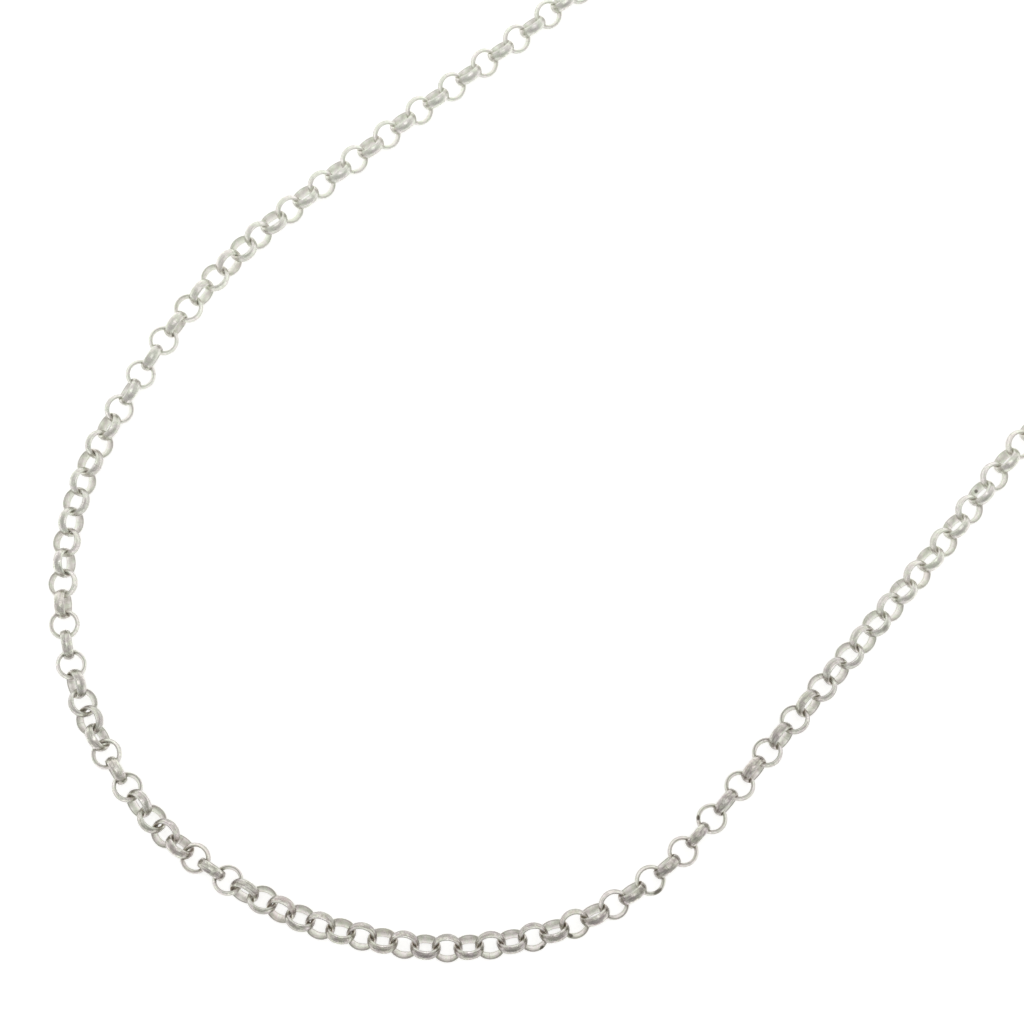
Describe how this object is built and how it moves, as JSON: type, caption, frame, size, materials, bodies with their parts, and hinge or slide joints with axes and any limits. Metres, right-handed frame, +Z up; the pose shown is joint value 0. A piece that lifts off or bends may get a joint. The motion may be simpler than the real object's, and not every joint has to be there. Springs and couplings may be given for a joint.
{
  "type": "rolo chain necklace",
  "caption": "Loop of round half-round-wire rolo links, laid flat and closed at the back by a plain spring-ring clasp.",
  "frame": {"origin": "centre of the loop's box, on the surface that the chain lies on", "axes": "+Z up; +Y from the front of the loop to the clasp; +X to the right, seen from above with the clasp at the top"},
  "size_m": [0.077, 0.1896, 0.003],
  "materials": {
    "chain_silver": "sterling silver, polished once and lightly scuffed, with a little tarnish where the links touch",
    "clasp_silver": "polished sterling silver"
  },
  "bodies": {
    "root": {"chain": "chain_silver", "clasp": "clasp_silver"}
  },
  "joints": []
}
